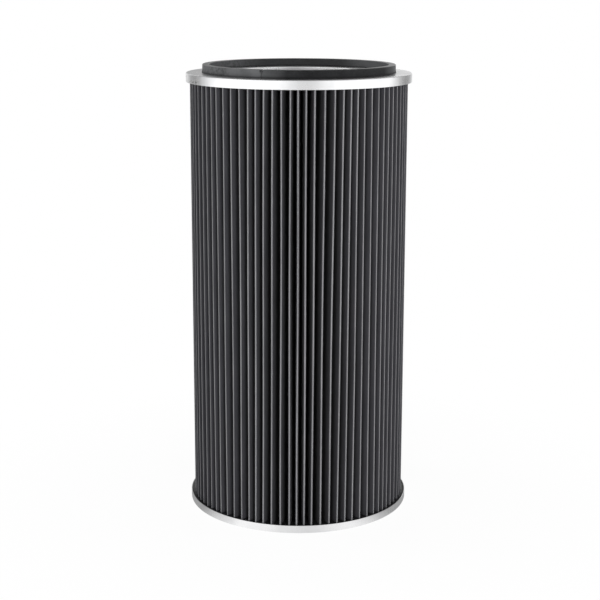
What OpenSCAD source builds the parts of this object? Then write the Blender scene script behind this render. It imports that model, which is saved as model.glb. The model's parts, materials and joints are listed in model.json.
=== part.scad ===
// Cartridge filter for a dust collector: a pleated ring of filter cloth round an open metal core,
// cast into a pressed cap at each end, with a rubber ring round the outlet.
// The origin is the centre of the bottom face, +Z runs up the axis and the front faces -Y.

/* [Overall] */
// Height from the bottom face to the flat rim of the top cap
body_h = 644; // [200:0.5:1200]
// Outside diameter of both end caps
cap_d = 327; // [250:1:400]

/* [End caps] */
// Thickness of the cap sheet
sheet_t = 0.8; // [0.5:0.1:1.2]
// Outside radius of the bends in the cap sheet
bend_r = 1.5; // [1.3:0.1:2.5]
// Depth of the top cap's outer skirt
top_skirt_h = 13; // [9:0.5:25]
// Height of the bottom cap's skirt
bottom_skirt_h = 11.5; // [9:0.5:25]
// Depth of the lip turned down round the outlet
lip_h = 13; // [9:0.5:25]
// Height by which the ledge inside the gasket stands above the rim
ledge_rise = 0.9; // [0.6:0.1:2.5]
// Width of the sloping step from the rim up to the ledge
ledge_slope_w = 2; // [1.5:0.1:4]
// Height by which the middle of the bottom cap is pressed up into the core
panel_rise = 10; // [6:0.5:20]
// Width by which the pressed-up panel's wall leans inwards
panel_lean = 2; // [0.5:0.1:5]

/* [Gasket] */
// Width of the flat rim outside the gasket
rim_w = 23.6; // [14:0.1:28]
// Width of the gasket
gasket_w = 10; // [6:0.5:16]
// Height of the gasket
gasket_h = 11.8; // [6:0.5:25]
// Rounding of the gasket's two top edges
gasket_round = 1; // [0.4:0.1:2.5]
// Width by which the gasket's foot spreads outwards
gasket_spread = 0.7; // [0.2:0.1:1.5]
// Height over which the foot spreads
spread_h = 3.5; // [1:0.5:5]
// Clearance between the gasket and the step of the ledge
gasket_gap = 0.5; // [0.2:0.1:2]
// Angle of the butt joint from the front, towards +X
splice_angle = -22; // [-180:1:180]
// Width of the crease at the butt joint
splice_w = 0.7; // [0.3:0.1:2]
// Depth of the crease at the butt joint
splice_depth = 0.8; // [0.3:0.1:2]

/* [Filter cloth] */
// Number of pleats
pleat_count = 80; // [40:1:100]
// Depth of the pleats, from the outer folds to the inner folds
pleat_depth = 48.9; // [38:0.1:62]
// Thickness of the cloth
cloth_t = 0.8; // [0.4:0.1:1]
// Radius of the folds at the middle of the cloth's thickness
fold_r = 1.3; // [1:0.1:1.6]
// Clearance between the outer folds and the skirts
skirt_gap = 4.7; // [1:0.1:10]
// Clearance between the inner folds and the core
core_gap = 0.3; // [0.2:0.1:2]
// How unevenly the pleats are spread, from 0 for an even pitch to 1 as made
unevenness = 1; // [0:0.1:1]

/* [Core] */
// Thickness of the core's wall
core_wall = 0.8; // [0.5:0.1:1.2]
// Clearance between the core and the outlet lip
lip_gap = 0.7; // [0.3:0.1:3]
// Number of diamond openings in a row round the core
opening_columns = 24; // [16:1:28]
// Number of rows of openings
opening_rows = 16; // [8:1:20]
// Width of the strands between the openings
strand_w = 3.5; // [2.5:0.1:6]
// Height of the plain band between the potting and the openings
band_h = 10; // [4:0.5:30]

/* [Potting] */
// Depth of the potting's face inside the edge of each skirt
potting_drop = 1.5; // [0.5:0.1:4]
// Thickness of potting between the cap sheet and the ends of the cloth and core
potting_film = 1.2; // [0.5:0.1:3]

/* [Hidden] */

$fn = 128;
bend_steps = 4;
outer_fold_steps = 6;
inner_fold_steps = 4;
over = 1;

// Uneven spread of the pleats: waves round the ring, with swing and phase in degrees
spread_waves = [[2, 0.75, 144], [6, 0.46, -144], [14, 0.40, 153]];
first_pleat = -90.85;

half_t = sheet_t / 2;
middle_bend_r = bend_r - half_t;

// From the caps' edge inwards: skirt, cloth, core and outlet
cap_r = cap_d / 2;
tip_r = cap_r - sheet_t - skirt_gap;
root_r = tip_r - pleat_depth;
core_r = root_r - core_gap;
core_in_r = core_r - core_wall;
outlet_r = core_in_r - lip_gap - sheet_t;
gasket_r = cap_r - rim_w;
ends_z = sheet_t + potting_film;
ends_h = body_h - 2 * ends_z;

rim_z = body_h - half_t;
ledge_z = rim_z + ledge_rise;
ledge_foot_r = gasket_r - gasket_w - gasket_gap;
top_potting_z = body_h - top_skirt_h + potting_drop;
bottom_potting_z = bottom_skirt_h - potting_drop;

// Middle line of the top cap's sheet, from the foot of the skirt over to the foot of the lip
top_line = [
    [cap_r - half_t, body_h - top_skirt_h],
    [cap_r - half_t, rim_z],
    [ledge_foot_r, rim_z],
    [ledge_foot_r - ledge_slope_w, ledge_z],
    [outlet_r + half_t, ledge_z],
    [outlet_r + half_t, body_h - lip_h]
];

// Middle line of the bottom cap's sheet, from the edge of the skirt to the axis
bottom_line = [
    [cap_r - half_t, bottom_skirt_h],
    [cap_r - half_t, half_t],
    [outlet_r + half_t, half_t],
    [outlet_r + half_t - panel_lean, panel_rise + half_t],
    [0, panel_rise + half_t]
];

function unit(v) = v / norm(v);
function left_of(v) = [-v.y, v.x];
function turned(v, angle) = [v.x * cos(angle) - v.y * sin(angle), v.x * sin(angle) + v.y * cos(angle)];
function toward(angle) = [cos(angle), sin(angle)];
function positive(angle) = angle < 0 ? angle + 360 : angle;
function reversed(list) = [for (i = [len(list) - 1 : -1 : 0]) list[i]];
function arc(centre, r, from, to, steps) =
    [for (i = [0 : steps]) centre + r * toward(from + (to - from) * i / steps)];

// Bend at one corner of a sheet, followed at a distance to the left of its middle line
function bend(before, corner, after, side) =
    let (
        heading = unit(corner - before),
        next = unit(after - corner),
        turn = atan2(heading.x * next.y - heading.y * next.x, heading * next),
        hand = sign(turn),
        start = corner - heading * middle_bend_r * tan(abs(turn) / 2),
        centre = start + hand * middle_bend_r * left_of(heading)
    )
    [for (i = [0 : bend_steps])
        centre - hand * (middle_bend_r - hand * side) * turned(left_of(heading), turn * i / bend_steps)];

// One face of a bent sheet
function sheet_face(line, side) =
    let (last = len(line) - 1)
    [
        line[0] + side * left_of(unit(line[1] - line[0])),
        for (i = [1 : last - 1]) each bend(line[i - 1], line[i], line[i + 1], side),
        line[last] + side * left_of(unit(line[last] - line[last - 1]))
    ];

module bent_sheet(line) {
    rotate_extrude()
        polygon(concat(sheet_face(line, half_t), reversed(sheet_face(line, -half_t))));
}

module top_end_cap() {
    color("gainsboro")
        bent_sheet(top_line);
}

module bottom_end_cap() {
    color("gainsboro")
        bent_sheet(bottom_line);
}

// Section of the gasket, smaller by inset on its two sides and its top
module gasket_section(inset) {
    inner = gasket_r - gasket_w + inset;
    outer = gasket_r - inset;
    top = body_h + gasket_h - inset;
    round_z = top - gasket_round;
    polygon(concat(
        [[inner, body_h], [outer + gasket_spread, body_h], [outer, body_h + spread_h]],
        arc([outer - gasket_round, round_z], gasket_round, 0, 90, bend_steps),
        arc([inner + gasket_round, round_z], gasket_round, 90, 180, bend_steps)
    ));
}

module gasket() {
    color("dimgray")
        difference() {
            rotate_extrude()
                gasket_section(0);
            difference() {
                rotate([0, 0, splice_angle - 90])
                    translate([outlet_r, -splice_w / 2, body_h - over])
                        cube([cap_r - outlet_r, splice_w, gasket_h + 2 * over]);
                rotate_extrude()
                    gasket_section(splice_depth);
            }
        }
}

function tip_angle(i) =
    let (even = 360 * i / pleat_count)
    first_pleat + even + unevenness * sum_of([for (w = spread_waves) w[1] * sin(w[0] * even + w[2])]);
function sum_of(list, i = 0) = i < len(list) ? list[i] + sum_of(list, i + 1) : 0;
function tip_centre(i) = (tip_r - cloth_t / 2 - fold_r) * toward(tip_angle(i));
function root_centre(i) =
    (root_r + cloth_t / 2 + fold_r) * toward((tip_angle(i) + tip_angle(i + 1)) / 2);

// Direction from a tip's centre to where the flank towards a root leaves the fold
function flank_angle(tip, root, hand) =
    let (span = root - tip)
    atan2(span.y, span.x) + hand * acos(2 * fold_r / norm(span));

// One face of the cloth all the way round, at a distance outside the middle of its thickness
function cloth_face(side) = [
    for (i = [0 : pleat_count - 1])
        let (
            tip = tip_centre(i),
            before = root_centre(i - 1),
            root = root_centre(i),
            next_tip = tip_centre(i + 1),
            rise = flank_angle(tip, before, 1),
            fall = flank_angle(tip, root, -1),
            climb = flank_angle(next_tip, root, 1),
            tip_turn = positive((fall - rise) % 360),
            root_turn = positive((fall - climb) % 360)
        )
        each concat(
            arc(tip, fold_r + side, rise, rise + tip_turn, outer_fold_steps),
            arc(root, fold_r - side, fall + 180, fall + 180 - root_turn, inner_fold_steps)
        )
];

module filter_media() {
    color([0.28, 0.28, 0.29])
        translate([0, 0, ends_z])
            linear_extrude(height = ends_h)
                difference() {
                    polygon(cloth_face(cloth_t / 2));
                    polygon(cloth_face(-cloth_t / 2));
                }
}

module core_tube() {
    translate([0, 0, ends_z])
        difference() {
            cylinder(h = ends_h, r = core_r);
            translate([0, 0, -over])
                cylinder(h = ends_h + 2 * over, r = core_in_r);
        }
}

// Openings of the expanded metal, each row set half a pitch round from the row below
module core_openings() {
    pitch = 360 / opening_columns;
    first_z = bottom_potting_z + band_h;
    half_w = core_r * sin(pitch / 2);
    half_h = (top_potting_z - band_h - first_z) / (opening_rows + 1);
    open_share = 1 - strand_w * norm([half_w, half_h]) / (2 * half_w * half_h);
    open_w = half_w * open_share;
    open_h = half_h * open_share;
    inside_r = core_in_r * cos(pitch / 2) - over;
    for (row = [1 : opening_rows], column = [1 : opening_columns])
        translate([0, 0, first_z + row * half_h])
            rotate([90, 0, (column + row / 2) * pitch])
                translate([0, 0, inside_r])
                    linear_extrude(height = core_r + over - inside_r)
                        polygon([[open_w, 0], [0, open_h], [-open_w, 0], [0, -open_h]]);
}

module inner_core() {
    color("silver")
        difference() {
            core_tube();
            core_openings();
        }
}

// Potting takes the print of the cloth and the core that stand in it
module cast_round_ends() {
    difference() {
        rotate_extrude()
            children();
        filter_media();
        core_tube();
    }
}

module top_potting() {
    color([0.1, 0.1, 0.1])
        cast_round_ends()
            intersection() {
                polygon(sheet_face(top_line, half_t));
                translate([0, top_potting_z])
                    square([cap_r, top_skirt_h + ledge_rise]);
            }
}

module bottom_potting() {
    color([0.1, 0.1, 0.1])
        cast_round_ends()
            intersection() {
                polygon(concat(
                    sheet_face(bottom_line, -half_t),
                    [[0, body_h], [cap_r - sheet_t, body_h]]
                ));
                square([cap_r, bottom_potting_z]);
            }
}

top_end_cap();
bottom_end_cap();
gasket();
filter_media();
inner_core();
top_potting();
bottom_potting();
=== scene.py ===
import json
import math

import bmesh
import bpy
import numpy as np
from bpy.props import FloatProperty, FloatVectorProperty, IntProperty, PointerProperty
from mathutils import Matrix, Vector


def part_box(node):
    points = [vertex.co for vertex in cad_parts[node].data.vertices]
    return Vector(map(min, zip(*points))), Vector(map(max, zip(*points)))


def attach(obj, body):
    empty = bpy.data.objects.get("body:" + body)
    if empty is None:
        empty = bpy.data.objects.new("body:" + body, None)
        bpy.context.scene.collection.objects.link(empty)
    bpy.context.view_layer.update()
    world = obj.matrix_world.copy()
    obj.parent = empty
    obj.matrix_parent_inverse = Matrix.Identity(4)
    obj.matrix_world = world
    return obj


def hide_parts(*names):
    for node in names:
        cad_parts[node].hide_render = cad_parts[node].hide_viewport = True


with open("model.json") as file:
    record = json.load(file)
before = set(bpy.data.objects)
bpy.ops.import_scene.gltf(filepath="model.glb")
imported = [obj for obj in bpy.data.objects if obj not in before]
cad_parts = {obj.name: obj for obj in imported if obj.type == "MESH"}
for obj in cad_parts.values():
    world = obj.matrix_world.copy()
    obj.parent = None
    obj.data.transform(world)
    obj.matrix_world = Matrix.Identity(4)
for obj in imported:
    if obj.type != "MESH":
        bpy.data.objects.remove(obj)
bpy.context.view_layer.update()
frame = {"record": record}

bl_info = {
    "name": "Cartridge filter",
    "version": (1, 0, 0),
    "blender": (4, 5, 0),
    "location": "View3D > Sidebar > Filter",
    "description": "Dresses the solids of a pleated cartridge filter with cloth, metal, rubber and resin",
    "category": "Object",
}

MM = 0.001
TURN = 2 * math.pi
SEED = 7

# Sheet metal of both caps and of the core, and how far the panel lies below the resin's face
SHEET = 0.8 * MM
BEND = 1.1 * MM
LEDGE_SLOPE = 2 * MM
PANEL_LEAN = 2 * MM
CORE_WALL = 0.8 * MM
CORE_GAP = 0.3 * MM
POTTING_DROP = 1.5 * MM

# Steps that curved shapes are drawn with
CAP_STEPS = 256
BEND_STEPS = 8
GASKET_STEPS = 300
ROUNDING_STEPS = 6
CLOTH_ROWS = 30
TIP_STEPS = 8
ROOT_STEPS = 3
FLANK_STEPS = 3
STRAND_STEPS = 5
POTTING_STEPS = 240
CREEP_STEPS = 5

# Pleats: waves in their spread and lean round the ring, as lobes, swing and phase in degrees, and how far
# each one wanders by itself, in degrees round the ring and outwards
FIRST_PLEAT = -90.85
SPREAD_WAVES = [(2, 0.75, 144), (6, 0.46, -144), (14, 0.40, 153)]
LEAN_WAVES = [(2, 1.18, -118), (8, 0.57, 110), (10, 0.28, 22)]
WANDER = 0.13
TIP_WANDER = 0.04 * MM

# The gasket's foot, and the crease of its joint: half the finely drawn span in degrees, the crease's width
# and depth with what the top edge adds to them, and how sharply that grows upwards
FOOT_HEIGHT = 3.5 * MM
JOINT_SPAN = 1.2
JOINT_STEPS = 48
JOINT_WIDTH = (0.45 * MM, 1.6 * MM)
JOINT_DEPTH = (0.8 * MM, 0.7 * MM)
JOINT_CURVE = 6

# The resin's edges: bevel, width of the creep and swing of the ripple
RESIN_BEVEL = 1 * MM
CREEP_WIDTH = 3 * MM
RIPPLE = 0.12 * MM

# Looks. Pairs are the start and end of a ramp: depths inside the tips of the folds, heights above the foot
# of the skirt, depths below the gasket's top, heights above its foot, and bearings in degrees
# The crown is paler from stretched fibres and from a painted highlight; the shade ramps paint shade that goes
# black deep between the pleats
CROWN_DEPTHS = (0.5 * MM, 0.12 * MM)
SHADE_DEPTHS = (38 * MM, 4 * MM)
SHADE_CURVE = 1.8
SHADE_BLACK = (0.002, 0.002, 0.002, 1)
# Painted light that makes the cloth paler towards the sides
CLOTH_SIDE_LIGHT = (52, 78)
# Painted shade that dims the cloth's crowns towards the sides
CROWN_SIDE_SHADE = (22, 60)
SPECKS_FROM = (-73, -70)
SPECKS_TO = (-60, -56)
SPECKS_ABOVE = (0.5 * MM, 1 * MM)
SPECKS_BELOW = (5 * MM, 7 * MM)
SPECK_COLOUR = (0.05, 0.05, 0.05, 1)
# Painted sheen of the lamps on the rubber: bearings where it starts and ends, at the left and at the right
LEFT_SHEEN_FROM = (-155, -120)
LEFT_SHEEN_TO = (-25, -7)
RIGHT_SHEEN_FROM = (58, 80)
RIGHT_SHEEN_TO = (120, 150)
MOTTLES_TO = (-50, -38)
JOINT_LINE = (0.1, 0.7)
# Painted shade in the notch at the top of the butt joint: bearings off the joint and depths below the top
NOTCH_SHADE_FROM = (0.2, 0.5)
NOTCH_SHADE_TO = (0.9, 1.2)
NOTCH_SHADE_BELOW = (4.2 * MM, 3.4 * MM)
FOOT_SHADE = (1.2 * MM, 3.2 * MM)
EDGE_GLOSS = (0.9 * MM, 0.4 * MM)
# Pale colour for the rubber's bloom of dust and for its painted sheen
RUBBER_DUST_AND_SHEEN = (0.10, 0.102, 0.105, 1)
RESIN_DUST = (0.05, 0.05, 0.052, 1)
CORE_DULL = (0.42, 0.43, 0.445)
CORE_ROUGHNESS = 0.42

# Brightness that the metal mirrors, of the surroundings and of the floor near the object: the most, and
# what is taken off round the camera and at the sides. Bearings in degrees, distances in metres
CARDS_BRIGHT = 1.42
CARDS_LENS = 0.62
CARDS_SIDES = 1.08
CARDS_LENS_GAP = (8, 24)
CARDS_SIDES_FROM = (100, 122)
CARDS_SIDES_TO = (144, 158)
CARDS_BACK = (160, 170)
FLOOR_BRIGHT = 1.16
FLOOR_LENS = 0.25
FLOOR_SIDES = 0.75
FLOOR_LENS_GAP = (4, 30)
FLOOR_SIDES_GAP = (32, 62)
FLOOR_NEAR = (0.3, 0.9)
OVERHEAD = (0.42, 0.82)
OVERHEAD_SHARE = 0.7
SHADOW_REACH = (0.2, 0.6)

# Stage: the floor, the lamps' place, size and aim, and each lamp's bearing and share of the power
FLOOR_HALF = 6.0
FLOOR_DROP = 0.2 * MM
PAPER = (0.9, 0.9, 0.9, 1)
WHITE = (1, 1, 1, 1)
LAMP_DISTANCE = 2.4
LAMP_HEIGHT = 0.62
LAMP_SIZE = (0.7, 1.2)
LAMP_AIM = 0.33
LAMPS = [
    ("left_softbox", -15, 0.78),
    ("right_softbox", 17, 1.25),
    ("left_rim_light", -104, 1.45),
    ("right_rim_light", 90, 0.95),
    ("back_softbox", 180, 0.7),
]
SENSOR_WIDTH = 36
CAMERA_SHIFT = (0.0024, -0.05)


def reach(node):
    """Radius, lowest and highest point of a solid, from the frame."""
    low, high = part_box(node)
    return max(high.x, high.y, -low.x, -low.y), low.z, high.z


def bore_radius(name):
    """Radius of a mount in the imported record."""
    return next(m["dims"]["r_mm"] for m in frame["record"]["mounts"] if m["name"] == name) * MM


CAP_FOOT = reach("top_end_cap")[1]


# Settings


class ClothSettings(bpy.types.PropertyGroup):
    """Sizes and colours of the pleated cloth."""

    pleats: IntProperty(
        name="Pleats", description="Number of pleats round the ring", default=80, min=40, max=100
    )
    thickness: FloatProperty(
        name="Thickness", description="Thickness of the cloth", default=0.8 * MM, unit="LENGTH", precision=4
    )
    fold: FloatProperty(
        name="Fold radius", description="Radius of the folds at the middle of the cloth", default=1.3 * MM,
        unit="LENGTH", precision=4
    )
    belly: FloatProperty(
        name="Belly", description="How far a flank bows out between its folds", default=0.7 * MM,
        unit="LENGTH", precision=4
    )
    lean: FloatProperty(
        name="Lean", description="How much the pleats wander from top to bottom", default=1.0, subtype="FACTOR"
    )
    colour: FloatVectorProperty(
        name="Colour", description="Colour of the cloth", default=(0.027, 0.0268, 0.0300),
        subtype="COLOR", size=3
    )
    fibre: FloatVectorProperty(
        name="Fibre colour", description="Colour of the palest fibres", default=(0.048, 0.0478, 0.053),
        subtype="COLOR", size=3
    )
    # The crown colour stands for stretched fibres and for a painted highlight on the outer folds
    crown: FloatVectorProperty(
        name="Crown colour", description="Colour of the stretched fibres on the outer folds",
        default=(0.215, 0.215, 0.222), subtype="COLOR", size=3
    )


class CapSettings(bpy.types.PropertyGroup):
    """Colours of the pressed caps."""

    colour: FloatVectorProperty(
        name="Colour", description="Colour of the bright sheet", default=(0.82, 0.82, 0.825),
        subtype="COLOR", size=3
    )
    dull: FloatVectorProperty(
        name="Dull colour", description="Colour of the duller patches", default=(0.68, 0.685, 0.695),
        subtype="COLOR", size=3
    )
    roughness: FloatProperty(
        name="Roughness", description="How satin the sheet is", default=0.3, subtype="FACTOR"
    )


class GasketSettings(bpy.types.PropertyGroup):
    """Sizes and colour of the rubber ring."""

    width: FloatProperty(
        name="Width", description="Width of the strip", default=10 * MM, unit="LENGTH", precision=4
    )
    spread: FloatProperty(
        name="Spread", description="How far the foot spreads", default=0.7 * MM, unit="LENGTH", precision=4
    )
    rounding: FloatProperty(
        name="Rounding", description="Rounding of the top edges", default=1 * MM, unit="LENGTH", precision=4
    )
    joint: FloatProperty(
        name="Joint", description="Angle of the butt joint from the front", default=math.radians(-21.4),
        subtype="ANGLE"
    )
    colour: FloatVectorProperty(
        name="Colour", description="Colour of the rubber", default=(0.007, 0.0072, 0.0077),
        subtype="COLOR", size=3
    )


class CoreSettings(bpy.types.PropertyGroup):
    """Sizes and colour of the core of expanded metal."""

    columns: IntProperty(name="Columns", description="Openings in a row round the core", default=24, min=8)
    rows: IntProperty(name="Rows", description="Rows of openings", default=16, min=2)
    strand: FloatProperty(
        name="Strand", description="Width of the strands between the openings", default=3.5 * MM,
        unit="LENGTH", precision=4
    )
    band: FloatProperty(
        name="Band", description="Height of the plain band between potting and openings", default=10 * MM,
        unit="LENGTH", precision=4
    )
    colour: FloatVectorProperty(
        name="Colour", description="Colour of the zinc", default=(0.60, 0.61, 0.625),
        subtype="COLOR", size=3
    )


class PottingSettings(bpy.types.PropertyGroup):
    """Size and colour of the cast resin."""

    creep: FloatProperty(
        name="Creep", description="How far the resin climbs the metal", default=0.8 * MM,
        unit="LENGTH", precision=4
    )
    colour: FloatVectorProperty(
        name="Colour", description="Colour of the resin", default=(0.012, 0.012, 0.013),
        subtype="COLOR", size=3
    )


class StageSettings(bpy.types.PropertyGroup):
    """Camera and light."""

    distance: FloatProperty(
        name="Distance", description="Camera's distance from the axis", default=2.0193, unit="LENGTH"
    )
    height: FloatProperty(
        name="Height", description="Camera's height", default=0.780, unit="LENGTH"
    )
    pitch: FloatProperty(
        name="Pitch", description="How far the camera looks down", default=math.radians(12.006), subtype="ANGLE"
    )
    roll: FloatProperty(
        name="Roll", description="How far the camera leans", default=0.0022, subtype="ANGLE"
    )
    lens: FloatProperty(
        name="Lens", description="Focal length in millimetres", default=82.95
    )
    lamps: FloatProperty(
        name="Lamps", description="Power in watts of a lamp whose share is 1", default=34.0
    )
    ambient: FloatProperty(
        name="Ambient", description="Strength of the light from all round", default=0.08
    )


# Shader expressions


class Term:
    """A node socket that takes part in arithmetic: each operator adds one Math node."""

    def __init__(self, recipe, socket):
        self.recipe = recipe
        self.socket = socket

    def maths(self, operation, *others):
        values = dict(enumerate((self, *others)))
        return self.recipe.add("ShaderNodeMath", {"operation": operation}, values)

    def __add__(self, other):
        return self.maths("ADD", other)

    __radd__ = __add__

    def __mul__(self, other):
        return self.maths("MULTIPLY", other)

    def __sub__(self, other):
        return self.maths("SUBTRACT", other)

    def __rsub__(self, other):
        return (self * -1.0) + other

    def __pow__(self, other):
        return self.maths("POWER", other)

    def ramp(self, low, high):
        """0 below low, 1 above high, straight between them."""
        values = {"Value": self, "From Min": low, "From Max": high}
        return self.recipe.add("ShaderNodeMapRange", {"clamp": True}, values)

    def band(self, rise, fall):
        """Up along one ramp and down again along the other."""
        return self.ramp(*rise) - self.ramp(*fall)

    def off(self, centre):
        """Distance from a centre."""
        return (self - centre).maths("ABSOLUTE")


class Recipe:
    """The nodes of one material or world, written as expressions."""

    def __init__(self, owner, coordinates="Object"):
        self.owner = owner
        owner.use_nodes = True
        self.tree = owner.node_tree
        self.tree.nodes.clear()
        self.place = self.add("ShaderNodeTexCoord", output=coordinates)

    def add(self, kind, settings=None, values=None, output=0):
        """Adds a node, with its settings first and then the values or links of its sockets."""
        node = self.tree.nodes.new(kind)
        for key, value in (settings or {}).items():
            setattr(node, key, value)
        for key, value in (values or {}).items():
            if isinstance(value, Term):
                self.tree.links.new(value.socket, node.inputs[key])
            else:
                node.inputs[key].default_value = value
        return Term(self, node.outputs[output]) if node.outputs else None

    def axes(self):
        """The place on the object as three numbers."""
        split = self.add("ShaderNodeSeparateXYZ", values={0: self.place})
        outputs = split.socket.node.outputs
        return [Term(self, outputs[i]) for i in range(3)]

    def stretched(self, x, y, z):
        """The place on the object, scaled along each axis."""
        return self.add("ShaderNodeVectorMath", {"operation": "MULTIPLY"}, {0: self.place, 1: (x, y, z)})

    def noise(self, scale, detail=3.0, place=None):
        values = {"Vector": place or self.place, "Scale": scale, "Detail": detail, "Roughness": 0.55}
        return self.add("ShaderNodeTexNoise", values=values)

    def mix(self, factor, first, second):
        """Blends two colours."""
        values = {0: factor, 6: first, 7: second}
        return self.add("ShaderNodeMix", {"data_type": "RGBA"}, values, output=2)

    def bump(self, height, strength, distance):
        return self.add("ShaderNodeBump", values={"Height": height, "Strength": strength, "Distance": distance})

    def finish(self, **sockets):
        """Ends the material in one surface shader."""
        values = {name.replace("_", " "): value for name, value in sockets.items()}
        shader = self.add("ShaderNodeBsdfPrincipled", values=values)
        self.add("ShaderNodeOutputMaterial", values={"Surface": shader})
        return self.owner


def colour4(colour):
    return (*colour, 1.0)


def from_axis(x, y):
    """Distance from the object's axis."""
    return (x * x + y * y).maths("SQRT")


def round_axis(x, y):
    """Bearing round the axis in degrees: 0 at the front, positive to the right."""
    return x.maths("ARCTAN2", y * -1.0) * math.degrees(1)


# Materials


def cloth_material(look):
    """Spunbonded polyester: felted fibres and pressed points, pale on the folds from stretched fibres and a
    painted highlight, with painted light at the sides and painted shade that goes black in the depth.
    """
    r = Recipe(bpy.data.materials.new("filter_cloth"))
    fibres = r.noise(1.0, 4.0, r.stretched(2600, 2600, 900))
    clouds = r.noise(1.0, 3.0, r.stretched(60, 60, 14))
    points = r.add(
        "ShaderNodeTexVoronoi", {"feature": "F1"},
        {"Vector": r.stretched(620, 620, 620), "Scale": 1.0, "Randomness": 0.25}
    )
    x, y, _ = r.axes()
    tip = reach("filter_media")[0]
    radius = from_axis(x, y)
    bearing = round_axis(x, y).maths("ABSOLUTE")
    crown = radius.ramp(*(tip - depth for depth in CROWN_DEPTHS))
    lit = radius.ramp(*(tip - depth for depth in SHADE_DEPTHS)) ** SHADE_CURVE
    pale = fibres.ramp(0.35, 0.75) * 0.6 + clouds.ramp(0.3, 0.7) * 0.4
    cloth = r.mix(pale, colour4(look.colour), colour4(look.fibre))
    cloth = r.mix(lit, SHADE_BLACK, cloth)
    # Painted light from the sides: the cloth turns paler towards its silhouettes
    cloth = r.mix(bearing.ramp(*CLOTH_SIDE_LIGHT) * 0.35 * lit, cloth, colour4(look.fibre))
    # Paler crowns from stretched fibres and a painted highlight, with painted shade that dims them towards the
    # sides
    stretched_and_highlit_crown = crown * (0.62 + pale * 0.38) * (1.0 - bearing.ramp(*CROWN_SIDE_SHADE) * 0.3)
    shade = r.mix(stretched_and_highlit_crown, cloth, colour4(look.crown))
    height = fibres * 0.6 + points.ramp(0.0, 0.45) * 0.4
    return r.finish(
        Base_Color=shade,
        Roughness=0.62 - clouds.ramp(0.3, 0.7) * 0.12,
        Specular_IOR_Level=0.08,
        Sheen_Weight=0.03,
        Sheen_Roughness=0.5,
        Normal=r.bump(height, 0.35, 0.0003),
    )


def metal_material(name, colour, dull, roughness, streak):
    """Bright rolled sheet: fine streaks, duller patches, shallow unevenness and a few specks of dirt."""
    r = Recipe(bpy.data.materials.new(name))
    streaks = r.noise(1.0, 3.0, r.stretched(*streak))
    patches = r.noise(26.0, 4.0)
    swells = r.noise(11.0, 1.0)
    grain = r.noise(900.0, 2.0)
    shade = r.mix(patches.ramp(0.42, 0.72) * 0.7, colour4(colour), colour4(dull))
    satin = roughness - 0.06 + streaks.ramp(0.3, 0.7) * 0.06 + patches.ramp(0.4, 0.7) * 0.08
    height = swells + streaks * 0.02 + grain * 0.004
    x, y, z = r.axes()
    smeared = round_axis(x, y).band(SPECKS_FROM, SPECKS_TO)
    edge = (z - CAP_FOOT).band(SPECKS_ABOVE, SPECKS_BELOW)
    specks = r.noise(1.0, 2.0, r.stretched(330, 330, 420)).ramp(0.55, 0.60) * smeared * edge
    return r.finish(
        Base_Color=r.mix(specks, shade, SPECK_COLOUR),
        Metallic=1.0 - specks,
        Roughness=satin,
        Normal=r.bump(height, 0.25, 0.002),
    )


def rubber_material(look):
    """Cut sponge rubber: fine pores, a bloom of dust, a painted sheen at the left and the right, mottles at the
    left, and painted shade in the notch at the top of its joint.
    """
    r = Recipe(bpy.data.materials.new("gasket_rubber"))
    pores = r.add(
        "ShaderNodeTexVoronoi", {"feature": "F1"}, {"Vector": r.stretched(1500, 1500, 1500), "Scale": 1.0}
    )
    bloom = r.noise(38.0, 4.0)
    skin = r.noise(1.0, 3.0, r.stretched(420, 420, 420))
    x, y, z = r.axes()
    bearing = round_axis(x, y)
    # Painted sheen: the rubber turns paler at the bearings where the lamps would shine on it
    painted_sheen = bearing.band(LEFT_SHEEN_FROM, LEFT_SHEEN_TO) + bearing.band(RIGHT_SHEEN_FROM, RIGHT_SHEEN_TO)
    mottled = r.noise(1.0, 2.0, r.stretched(240, 240, 240)).ramp(0.42, 0.62)
    mottled = mottled * (1.0 - bearing.ramp(*MOTTLES_TO))
    pale = bloom.ramp(0.35, 0.75) * (0.09 + painted_sheen * 0.5) + skin.ramp(0.4, 0.7) * 0.07 + painted_sheen * 0.72
    outer = gasket_radius()
    inside = 1.0 - from_axis(x, y).ramp(outer - look.width * 0.8, outer - look.width * 0.5)
    pale = pale * (1.0 - mottled * 0.55) + inside * 0.3
    joint = bearing.off(math.degrees(look.joint))
    _, low, high = reach("gasket")
    # Painted shade in the notch at the top of the joint, beside the dark joint line
    ends = joint.band(NOTCH_SHADE_FROM, NOTCH_SHADE_TO) * z.ramp(*(high - depth for depth in NOTCH_SHADE_BELOW))
    joint_line_and_notch_shade = 1.0 - (1.0 - joint.ramp(*JOINT_LINE)) * 0.45 - ends * 0.7
    foot = (z - low).ramp(*FOOT_SHADE)
    shade = r.mix(pale * joint_line_and_notch_shade * (foot * 0.6 + 0.4), colour4(look.colour), RUBBER_DUST_AND_SHEEN)
    height = pores.ramp(0.0, 0.5) * 0.5 + skin * 0.5
    return r.finish(
        Base_Color=shade,
        Roughness=0.55 + bloom.ramp(0.3, 0.7) * 0.15,
        Specular_IOR_Level=0.15,
        Coat_Weight=z.ramp(*(high - depth for depth in EDGE_GLOSS)) * 0.8,
        Coat_Roughness=0.35,
        Normal=r.bump(height, 0.3, 0.0003),
    )


def resin_material(look):
    """Black cast resin: smooth, with a slow ripple and fine dust."""
    r = Recipe(bpy.data.materials.new("potting_resin"))
    ripple = r.noise(90.0, 2.0)
    dust = r.noise(700.0, 3.0)
    shade = r.mix(dust.ramp(0.55, 0.8) * 0.5, colour4(look.colour), RESIN_DUST)
    return r.finish(
        Base_Color=shade,
        Roughness=0.32 + dust.ramp(0.4, 0.7) * 0.2,
        Normal=r.bump(ripple, 0.3, 0.001),
    )


# Mesh helpers


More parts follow.
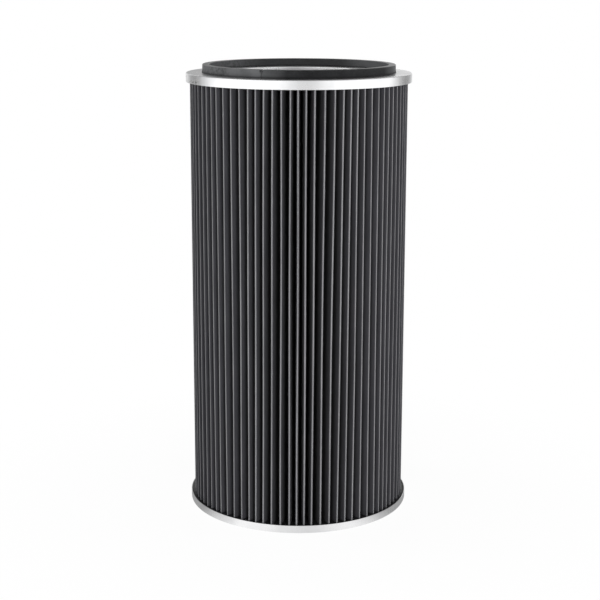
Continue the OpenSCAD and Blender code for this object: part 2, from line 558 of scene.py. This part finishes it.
def make_object(name, points, faces, material, nodes, crease=40):
    """Makes a mesh object in the shared frame that rides on the part and stands for its solids."""
    mesh = bpy.data.meshes.new(name)
    mesh.from_pydata([tuple(p) for p in points], [], [tuple(f) for f in faces])
    work = bmesh.new()
    work.from_mesh(mesh)
    bmesh.ops.remove_doubles(work, verts=work.verts, dist=0.002 * MM)
    bmesh.ops.recalc_face_normals(work, faces=work.faces)
    work.to_mesh(mesh)
    work.free()
    mesh.shade_smooth()
    mesh.set_sharp_from_angle(angle=math.radians(crease))
    mesh.materials.append(material)
    piece = bpy.data.objects.new(name, mesh)
    bpy.context.scene.collection.objects.link(piece)
    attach(piece, "root")
    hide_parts(*nodes)


def quads(rows, columns, close_rows=False, close_columns=False):
    """Faces of a grid of points, row after row."""
    r = np.arange(rows if close_rows else rows - 1)
    c = np.arange(columns if close_columns else columns - 1)
    row, column = (a.ravel() for a in np.meshgrid(r, c, indexing="ij"))
    up, side = (row + 1) % rows, (column + 1) % columns
    corners = [row * columns + column, row * columns + side, up * columns + side, up * columns + column]
    return np.stack(corners, 1)


def revolve(outline, angles):
    """Points of a closed outline of radius and height, carried round the axis."""
    outline = np.asarray(outline, float)
    x = np.outer(np.cos(angles), outline[:, 0])
    y = np.outer(np.sin(angles), outline[:, 0])
    z = np.broadcast_to(outline[:, 1], x.shape)
    return np.stack([x, y, z], -1)


def arc(centre, radius, start, end, steps):
    """Points along an arc, with its angles in degrees."""
    t = np.radians(np.linspace(start, end, steps + 1))
    return np.stack([centre[0] + radius * np.cos(t), centre[1] + radius * np.sin(t)], 1)


def sheet_face(line, side):
    """One face of a bent sheet, at a distance to the left of its middle line."""
    line = np.asarray(line, float)
    heading = np.diff(line, axis=0)
    heading /= np.linalg.norm(heading, axis=1)[:, None]
    left = np.stack([-heading[:, 1], heading[:, 0]], 1)
    points = [line[0] + side * left[0]]
    for i in range(1, len(line) - 1):
        a, b = heading[i - 1], heading[i]
        turn = math.atan2(a[0] * b[1] - a[1] * b[0], a @ b)
        hand = math.copysign(1, turn)
        centre = line[i] - a * BEND * math.tan(abs(turn) / 2) + hand * BEND * left[i - 1]
        start = math.atan2(left[i - 1][1], left[i - 1][0]) + (math.pi if hand > 0 else 0)
        t = start + turn * np.linspace(0, 1, BEND_STEPS + 1)
        points.extend(centre + (BEND - hand * side) * np.stack([np.cos(t), np.sin(t)], 1))
    points.append(line[-1] + side * left[-1])
    return np.array(points)


def bent_sheet(line):
    """Closed outline of a bent sheet."""
    return np.concatenate([sheet_face(line, SHEET / 2), sheet_face(line, -SHEET / 2)[::-1]])


def make_ring(name, points, material, node, crease=40):
    """An object from an outline that was carried round the axis."""
    steps, corners = points.shape[:2]
    faces = quads(steps, corners, close_rows=True, close_columns=True)
    make_object(name, points.reshape(-1, 3), faces, material, [node], crease)


# Pieces


def cap_rise():
    """Height of the ledge inside the gasket above the rim."""
    return reach("top_end_cap")[2] - reach("gasket")[1]


def top_line():
    """Middle line of the top cap's sheet, from the foot of the skirt to the foot of the lip."""
    radius, low, high = reach("top_end_cap")
    rim = reach("gasket")[1] - SHEET / 2
    ledge = high - SHEET / 2
    foot = gasket_radius() - bpy.context.scene.filter_gasket.width - 0.5 * MM
    lip = bore_radius("outlet_bore") + SHEET / 2
    return [
        (radius - SHEET / 2, low), (radius - SHEET / 2, rim), (foot, rim),
        (foot - LEDGE_SLOPE, ledge), (lip, ledge), (lip, low),
    ]


def bottom_line():
    """Middle line of the bottom cap's sheet, from the edge of the skirt to the axis."""
    radius, low, high = reach("bottom_end_cap")
    panel = high - POTTING_DROP + SHEET / 2
    foot = bore_radius("outlet_bore") + SHEET / 2
    return [
        (radius - SHEET / 2, high), (radius - SHEET / 2, low + SHEET / 2), (foot, low + SHEET / 2),
        (foot - PANEL_LEAN, panel), (0, panel),
    ]


def gasket_radius():
    """Outer radius of the gasket above its spread foot."""
    return reach("gasket")[0] - bpy.context.scene.filter_gasket.spread


class FILTER_OT_caps(bpy.types.Operator):
    """Makes the two pressed end caps"""

    bl_idname = "filter.caps"
    bl_label = "End caps"

    def execute(self, context):
        look = context.scene.filter_caps
        material = metal_material("cap_metal", look.colour, look.dull, look.roughness, (700, 700, 25))
        angles = np.linspace(0, TURN, CAP_STEPS, endpoint=False)
        for node, line in (("top_end_cap", top_line()), ("bottom_end_cap", bottom_line())):
            points = revolve(bent_sheet(line), angles)
            make_ring(f"{node}_sheet", points, material, node, crease=30)
        return {"FINISHED"}


class FILTER_OT_gasket(bpy.types.Operator):
    """Makes the rubber ring with its butt joint"""

    bl_idname = "filter.gasket"
    bl_label = "Gasket"

    def execute(self, context):
        look = context.scene.filter_gasket
        foot, low, high = reach("gasket")
        outer = gasket_radius()
        inner = outer - look.width
        joint = -math.pi / 2 + look.joint
        fine = joint + np.radians(np.linspace(-JOINT_SPAN, JOINT_SPAN, JOINT_STEPS + 1))
        coarse = joint + np.radians(np.linspace(JOINT_SPAN, 360 - JOINT_SPAN, GASKET_STEPS)[1:-1])
        angles = np.concatenate([fine, coarse])
        top = high - look.rounding
        outline = np.concatenate([
            [(inner, low), (foot, low), (foot - 0.35 * look.spread, low + 1 * MM), (outer, low + FOOT_HEIGHT)],
            arc((outer - look.rounding, top), look.rounding, 0, 90, ROUNDING_STEPS),
            arc((inner + look.rounding, top), look.rounding, 90, 180, ROUNDING_STEPS),
        ])
        points = revolve(outline, angles)
        middle = np.array([(inner + outer) / 2, (low + high) / 2])
        drawn = outline - middle
        drawn /= np.linalg.norm(drawn, axis=1)[:, None]
        level = (outline[:, 1] - low) / (high - low)
        bow = joint + np.radians(0.5) * (level - 0.5) ** 2
        away = ((angles[:, None] - bow[None, :] + math.pi) % TURN - math.pi) * outer
        flare = level ** JOINT_CURVE
        width = JOINT_WIDTH[0] + JOINT_WIDTH[1] * flare
        depth = (JOINT_DEPTH[0] + JOINT_DEPTH[1] * flare) * np.clip(level * 3, 0, 1)
        crease = np.exp(-((away / width[None, :]) ** 2)) * depth[None, :]
        radial = np.stack([np.cos(angles), np.sin(angles)], 1)
        points[..., :2] -= (crease * drawn[None, :, 0])[..., None] * radial[:, None, :]
        points[..., 2] -= crease * np.clip(drawn[:, 1], 0, 1)[None, :]
        make_ring("gasket_ring", points, rubber_material(look), "gasket")
        return {"FINISHED"}


def waves(turn, rows):
    """Sum of a few waves round the ring, in degrees."""
    return sum(swing * np.sin(lobes * turn + math.radians(phase)) for lobes, swing, phase in rows)


def polar(radius, angle):
    return np.stack([radius * np.cos(angle), radius * np.sin(angle)], -1)


def swept(centre, radius, start, sweep, steps):
    """An arc for every pleat at once."""
    t = start[:, None] + sweep[:, None] * np.linspace(0, 1, steps + 1)[None, :]
    return centre[:, None, :] + polar(radius, t)


def flank(tip, root, fold, hand):
    """Direction in which a flank leaves the fold at its tip."""
    span = root - tip
    return np.arctan2(span[:, 1], span[:, 0]) + hand * np.arccos(2 * fold / np.linalg.norm(span, axis=1))


def between(start, end, belly, steps):
    """Points inside a flank, bowed sideways by its belly."""
    t = np.linspace(0, 1, steps + 2)[1:-1]
    run = end - start
    side = np.stack([-run[:, 1], run[:, 0]], 1) / np.linalg.norm(run, axis=1)[:, None]
    bow = np.sin(math.pi * t)[None, :, None] * belly[:, None, None] * side[:, None, :]
    return start[:, None, :] + run[:, None, :] * t[None, :, None] + bow


def cloth_ring(look, tip_angle, tip_radius, root_radius, belly, side):
    """One face of the cloth at one height, at a distance outside the middle of its thickness."""
    fold = look.fold
    tip = polar(tip_radius - look.thickness / 2 - fold, tip_angle)
    ahead = np.roll(tip_angle, -1)
    ahead[-1] += TURN
    root = polar(root_radius + look.thickness / 2 + fold, (tip_angle + ahead) / 2)
    before, next_tip = np.roll(root, 1, 0), np.roll(tip, -1, 0)
    rise, fall = flank(tip, before, fold, 1), flank(tip, root, fold, -1)
    climb = flank(next_tip, root, fold, 1)
    over_tip = swept(tip, fold + side, rise, (fall - rise) % TURN, TIP_STEPS)
    under_root = swept(root, fold - side, fall + math.pi, -((fall - climb) % TURN), ROOT_STEPS)
    down = between(over_tip[:, -1], under_root[:, 0], belly, FLANK_STEPS)
    up = between(under_root[:, -1], np.roll(over_tip[:, 0], -1, 0), -np.roll(belly, -1), FLANK_STEPS)
    return np.concatenate([over_tip, down, under_root, up], 1).reshape(-1, 2)


class FILTER_OT_cloth(bpy.types.Operator):
    """Makes the pleated ring of filter cloth"""

    bl_idname = "filter.cloth"
    bl_label = "Filter cloth"

    def execute(self, context):
        look = context.scene.filter_cloth
        rng = np.random.default_rng(SEED)
        tip_radius, low, high = reach("filter_media")
        root_radius = reach("inner_core")[0] + CORE_GAP
        turn = np.arange(look.pleats) * TURN / look.pleats
        even = FIRST_PLEAT + np.degrees(turn) + waves(turn, SPREAD_WAVES)
        phase = rng.uniform(0, TURN, (4, look.pleats))
        size = rng.uniform(0.4, 1.0, (2, look.pleats))
        faces_of_cloth = []
        for side in (look.thickness / 2, -look.thickness / 2):
            rings = []
            for level in np.linspace(0, 1, CLOTH_ROWS + 1):
                lean = (0.5 - level) * waves(turn, LEAN_WAVES) * look.lean
                wander = WANDER * size[0] * np.sin(7 * level + phase[0])
                angle = np.radians(even + lean + wander)
                depth = TIP_WANDER * (np.sin(5 * level + phase[1]) - 1)
                belly = look.belly * size[1] * np.sin(3 * level + phase[2])
                belly = belly * math.sin(math.pi * level) ** 0.5
                ring = cloth_ring(look, angle, tip_radius + depth, root_radius, belly, side)
                rings.append(np.column_stack([ring, np.full(len(ring), low + (high - low) * level)]))
            faces_of_cloth.append(np.array(rings))
        outer, inner = faces_of_cloth
        columns = outer.shape[1]
        points = np.concatenate([outer.reshape(-1, 3), inner.reshape(-1, 3)])
        skin = quads(CLOTH_ROWS + 1, columns, close_columns=True)
        shift = outer.shape[0] * columns
        ring = np.arange(columns)
        onward = (ring + 1) % columns
        last = CLOTH_ROWS * columns
        ends = [
            np.stack([ring, ring + shift, onward + shift, onward], 1),
            np.stack([ring + last, onward + last, onward + last + shift, ring + last + shift], 1),
        ]
        faces = np.concatenate([skin, skin[:, ::-1] + shift, *ends])
        material = cloth_material(look)
        make_object("pleated_cloth", points, faces, material, ["filter_media"], crease=60)
        return {"FINISHED"}


def diamond(half_w, half_h, sink):
    """A loop of points round a diamond, each with how far it sinks into the sheet."""
    corners = np.array([(half_w, 0, sink), (0, half_h, sink), (-half_w, 0, sink), (0, -half_h, sink)])
    t = np.arange(STRAND_STEPS)[:, None] / STRAND_STEPS
    return np.concatenate([a + (b - a) * t for a, b in zip(corners, np.roll(corners, -1, 0))])


def half_diamond(half_w, half_h):
    """Quads and triangles of a plain half diamond that stands on its long side."""
    def spot(i, j):
        return i * half_w / STRAND_STEPS, j * half_h / STRAND_STEPS, 0

    squares, corners = [], []
    for j in range(STRAND_STEPS):
        side = STRAND_STEPS - j
        for i in range(1 - side, side - 1):
            squares.append([spot(i, j), spot(i + 1, j), spot(i + 1, j + 1), spot(i, j + 1)])
        corners.append([spot(-side, j), spot(1 - side, j), spot(1 - side, j + 1)])
        corners.append([spot(side - 1, j), spot(side, j), spot(side - 1, j + 1)])
    return squares, corners


class FILTER_OT_core(bpy.types.Operator):
    """Makes the core of expanded metal"""

    bl_idname = "filter.core"
    bl_label = "Core"

    def execute(self, context):
        look = context.scene.filter_core
        outer, low, high = reach("inner_core")
        start = reach("bottom_potting")[2] + look.band
        end = reach("top_potting")[1] - look.band
        pitch = TURN / look.columns
        half_w = outer * math.sin(pitch / 2)
        half_h = (end - start) / (look.rows + 1)
        share = 1 - look.strand * math.hypot(half_w, half_h) / (2 * half_w * half_h)
        shoulder = 0.65 * share + 0.35
        sizes = ((1, 0), (shoulder, 0), (share, 0.2 * MM))
        loops = [diamond(half_w * size, half_h * size, sink) for size, sink in sizes]
        tile = [
            [a[i], a[i - 1], b[i - 1], b[i]] for a, b in zip(loops, loops[1:]) for i in range(len(a))
        ]
        edge = [[loops[-1][i], loops[-1][i - 1]] for i in range(len(loops[-1]))]
        squares, corners = half_diamond(half_w, half_h)
        width = half_w / STRAND_STEPS
        base = np.arange(-STRAND_STEPS, STRAND_STEPS) * width
        parts = {4: [], 3: [], 2: []}

        def put(size, shapes, column, height, upright=1):
            shapes = np.array(shapes) * (1, upright, 1)
            angle = column * pitch - math.pi / 2 + shapes[..., 0] / half_w * pitch / 2
            parts[size].append(np.stack([angle, height + shapes[..., 1], shapes[..., 2]], -1))

        for column in range(look.columns):
            for row in range(1, look.rows + 1):
                put(4, tile, column + row / 2, start + row * half_h)
                put(2, edge, column + row / 2, start + row * half_h)
            for level, rim, upright, shift in ((start, low, 1, 0), (end, high, -1, (look.rows + 1) / 2)):
                near = [[(x, 0, 0), (x + width, 0, 0)] for x in base]
                far = [[(x, rim - level, 0), (x + width, rim - level, 0)] for x in base]
                put(4, squares, column + shift, level, upright)
                put(3, corners, column + shift, level, upright)
                put(4, [a + b[::-1] for a, b in zip(near, far)], column + shift, level)
                put(2, far, column + shift, level)
        points, faces = [], []
        for size, drawn in parts.items():
            spots = np.concatenate(drawn).reshape(-1, 3)
            cos, sin = np.cos(spots[:, 0]), np.sin(spots[:, 0])
            sheets = [
                np.stack([radius * cos, radius * sin, spots[:, 1]], 1)
                for radius in (outer - spots[:, 2], outer - CORE_WALL + spots[:, 2])
            ]
            first = len(points) + np.arange(len(spots)).reshape(-1, size)
            points.extend(np.concatenate(sheets))
            if size == 2:
                faces.extend(np.concatenate([first, first[:, ::-1] + len(spots)], 1))
            else:
                faces.extend([*first, *(first[:, ::-1] + len(spots))])
        material = metal_material("core_zinc", look.colour, CORE_DULL, CORE_ROUGHNESS, (60, 60, 60))
        make_object("expanded_metal_core", points, faces, material, ["inner_core"])
        return {"FINISHED"}


class FILTER_OT_potting(bpy.types.Operator):
    """Makes the cast resin in both caps"""

    bl_idname = "filter.potting"
    bl_label = "Potting"

    def execute(self, context):
        look = context.scene.filter_potting
        material = resin_material(look)
        inner = bore_radius("outlet_bore") + SHEET
        angles = np.linspace(0, TURN, POTTING_STEPS, endpoint=False)
        creep = np.linspace(0, 1, CREEP_STEPS + 1)
        climb = look.creep * (1 - creep) ** 2
        inward = CREEP_WIDTH * creep
        ripple = RIPPLE * (np.sin(5 * angles) + np.sin(13 * angles + 1))
        for node, facing in (("bottom_potting", 1), ("top_potting", -1)):
            outer, low, high = reach(node)
            back, face = (low, high) if facing > 0 else (high - cap_rise(), low)
            bevel = back + facing * RESIN_BEVEL
            outline = np.concatenate([
                [(inner + RESIN_BEVEL, back), (outer - RESIN_BEVEL, back), (outer, bevel)],
                np.stack([outer - inward, face + facing * climb], 1),
                np.stack([inner + inward, face + facing * climb], 1)[::-1],
                [(inner, bevel)],
            ])
            points = revolve(outline, angles)
            points[:, 3:-1, 2] += ripple[:, None]
            make_ring(f"{node}_resin", points, material, node)
        return {"FINISHED"}


def mirrored_cards(x, y):
    """How bright the surroundings are in the metal: dull round the camera, at both sides and behind."""
    bearing = round_axis(x, y)
    lens_gap = 1.0 - bearing.off(7.0).ramp(*CARDS_LENS_GAP)
    aside = bearing.off(3.0)
    sides = aside.ramp(*CARDS_SIDES_FROM) - aside.ramp(*CARDS_SIDES_TO) * 0.8
    behind = aside.ramp(*CARDS_BACK) * (0.71 - x.ramp(-0.08, 0.06) * 0.4)
    return CARDS_BRIGHT - lens_gap * CARDS_LENS - sides * CARDS_SIDES - behind


def overhead(z):
    """How much darker the surroundings are above the object."""
    return z.ramp(*OVERHEAD) * OVERHEAD_SHARE


def mirrored_floor(x, y):
    """How bright the floor is in the metal: its own pattern near the object, then the surroundings'."""
    bearing = round_axis(x, y)
    lens_gap = 1.0 - bearing.off(4.0).ramp(*FLOOR_LENS_GAP)
    sides = bearing.off(-2.0).ramp(*FLOOR_SIDES_GAP)
    close = FLOOR_BRIGHT - lens_gap * FLOOR_LENS - sides * FLOOR_SIDES
    far = from_axis(x, y).ramp(*FLOOR_NEAR)
    return close * (1.0 - far) + mirrored_cards(x, y) * far


def soft_lamp(name, azimuth, power):
    """Makes a wide lamp that faces the object's middle and shows neither to the camera nor in the metal."""
    lamp = bpy.data.lights.new(name, "AREA")
    lamp.shape = "RECTANGLE"
    lamp.size, lamp.size_y = LAMP_SIZE
    lamp.energy = power
    item = bpy.data.objects.new(name, lamp)
    bpy.context.scene.collection.objects.link(item)
    angle = math.radians(azimuth)
    item.location = (LAMP_DISTANCE * math.sin(angle), -LAMP_DISTANCE * math.cos(angle), LAMP_HEIGHT)
    aim = Vector((0, 0, LAMP_AIM)) - item.location
    item.rotation_mode = "QUATERNION"
    item.rotation_quaternion = aim.to_track_quat("-Z", "Y")
    item.visible_camera = False
    item.visible_glossy = False


class FILTER_OT_stage(bpy.types.Operator):
    """Makes the floor, the light and the camera"""

    bl_idname = "filter.stage"
    bl_label = "Stage"

    def execute(self, context):
        look = context.scene.filter_stage
        context.scene.view_settings.view_transform = "Standard"
        self.make_floor()
        self.make_world(look)
        for name, azimuth, share in LAMPS:
            soft_lamp(name, azimuth, look.lamps * share)
        self.make_camera(look)
        return {"FINISHED"}

    def make_floor(self):
        mesh = bpy.data.meshes.new("floor")
        signs = ((-1, -1), (1, -1), (1, 1), (-1, 1))
        corners = [(x * FLOOR_HALF, y * FLOOR_HALF, -FLOOR_DROP) for x, y in signs]
        mesh.from_pydata(corners, [], [(0, 1, 2, 3)])
        floor = bpy.data.objects.new("floor", mesh)
        bpy.context.scene.collection.objects.link(floor)
        r = Recipe(bpy.data.materials.new("floor_white"))
        x, y, _ = r.axes()
        seen = r.add("ShaderNodeLightPath", output="Is Camera Ray")
        gloss = r.add("ShaderNodeLightPath", output="Is Glossy Ray")
        away = from_axis(x, y).ramp(*SHADOW_REACH)
        paper = r.add("ShaderNodeBsdfDiffuse", values={"Color": PAPER})
        strength = seen + gloss * mirrored_floor(x, y)
        white = r.add("ShaderNodeEmission", values={"Color": WHITE, "Strength": strength})
        factor = (seen + gloss) * (0.96 + away * 0.04)
        surface = r.add("ShaderNodeMixShader", values={0: factor, 1: paper, 2: white})
        r.add("ShaderNodeOutputMaterial", values={"Surface": surface})
        mesh.materials.append(r.owner)

    def make_world(self, look):
        world = bpy.data.worlds.new("studio")
        bpy.context.scene.world = world
        r = Recipe(world, "Generated")
        x, y, z = r.axes()
        kinds = ("Camera", "Transmission", "Glossy")
        camera, clear, gloss = (r.add("ShaderNodeLightPath", output=f"Is {kind} Ray") for kind in kinds)
        seen = camera.maths("MAXIMUM", clear)
        cards = mirrored_cards(x, y) * (1.0 - overhead(z))
        unseen = gloss * cards + (1.0 - gloss) * look.ambient
        strength = seen + (1.0 - seen) * unseen
        light = r.add("ShaderNodeBackground", values={"Color": WHITE, "Strength": strength})
        r.add("ShaderNodeOutputWorld", values={"Surface": light})

    def make_camera(self, look):
        data = bpy.data.cameras.new("photo_camera")
        data.sensor_width = SENSOR_WIDTH
        data.lens = look.lens
        data.shift_x, data.shift_y = CAMERA_SHIFT
        camera = bpy.data.objects.new("photo_camera", data)
        bpy.context.scene.collection.objects.link(camera)
        place = Matrix.Translation((0, -look.distance, look.height))
        aim = Matrix.Rotation(math.pi / 2 - look.pitch, 4, "X") @ Matrix.Rotation(look.roll, 4, "Z")
        camera.matrix_world = place @ aim
        bpy.context.scene.camera = camera


class FILTER_PT_panel(bpy.types.Panel):
    """Lists the settings and the pieces"""

    bl_idname = "FILTER_PT_panel"
    bl_label = "Cartridge filter"
    bl_space_type = "VIEW_3D"
    bl_region_type = "UI"
    bl_category = "Filter"

    def draw(self, context):
        layout = self.layout
        for attribute, settings, operator in PIECES:
            box = layout.box()
            group = getattr(context.scene, attribute)
            for name in settings.__annotations__:
                box.prop(group, name)
            box.operator(operator.bl_idname)


PIECES = [
    ("filter_stage", StageSettings, FILTER_OT_stage),
    ("filter_caps", CapSettings, FILTER_OT_caps),
    ("filter_gasket", GasketSettings, FILTER_OT_gasket),
    ("filter_cloth", ClothSettings, FILTER_OT_cloth),
    ("filter_core", CoreSettings, FILTER_OT_core),
    ("filter_potting", PottingSettings, FILTER_OT_potting),
]


def register():
    for attribute, settings, operator in PIECES:
        bpy.utils.register_class(settings)
        bpy.utils.register_class(operator)
        setattr(bpy.types.Scene, attribute, PointerProperty(type=settings))
    bpy.utils.register_class(FILTER_PT_panel)


def unregister():
    bpy.utils.unregister_class(FILTER_PT_panel)
    for attribute, settings, operator in reversed(PIECES):
        delattr(bpy.types.Scene, attribute)
        bpy.utils.unregister_class(operator)
        bpy.utils.unregister_class(settings)


def main():
    register()
    bpy.ops.filter.stage()
    bpy.ops.filter.caps()
    bpy.ops.filter.gasket()
    bpy.ops.filter.cloth()
    bpy.ops.filter.core()
    bpy.ops.filter.potting()


if __name__ == "__main__":
    main()
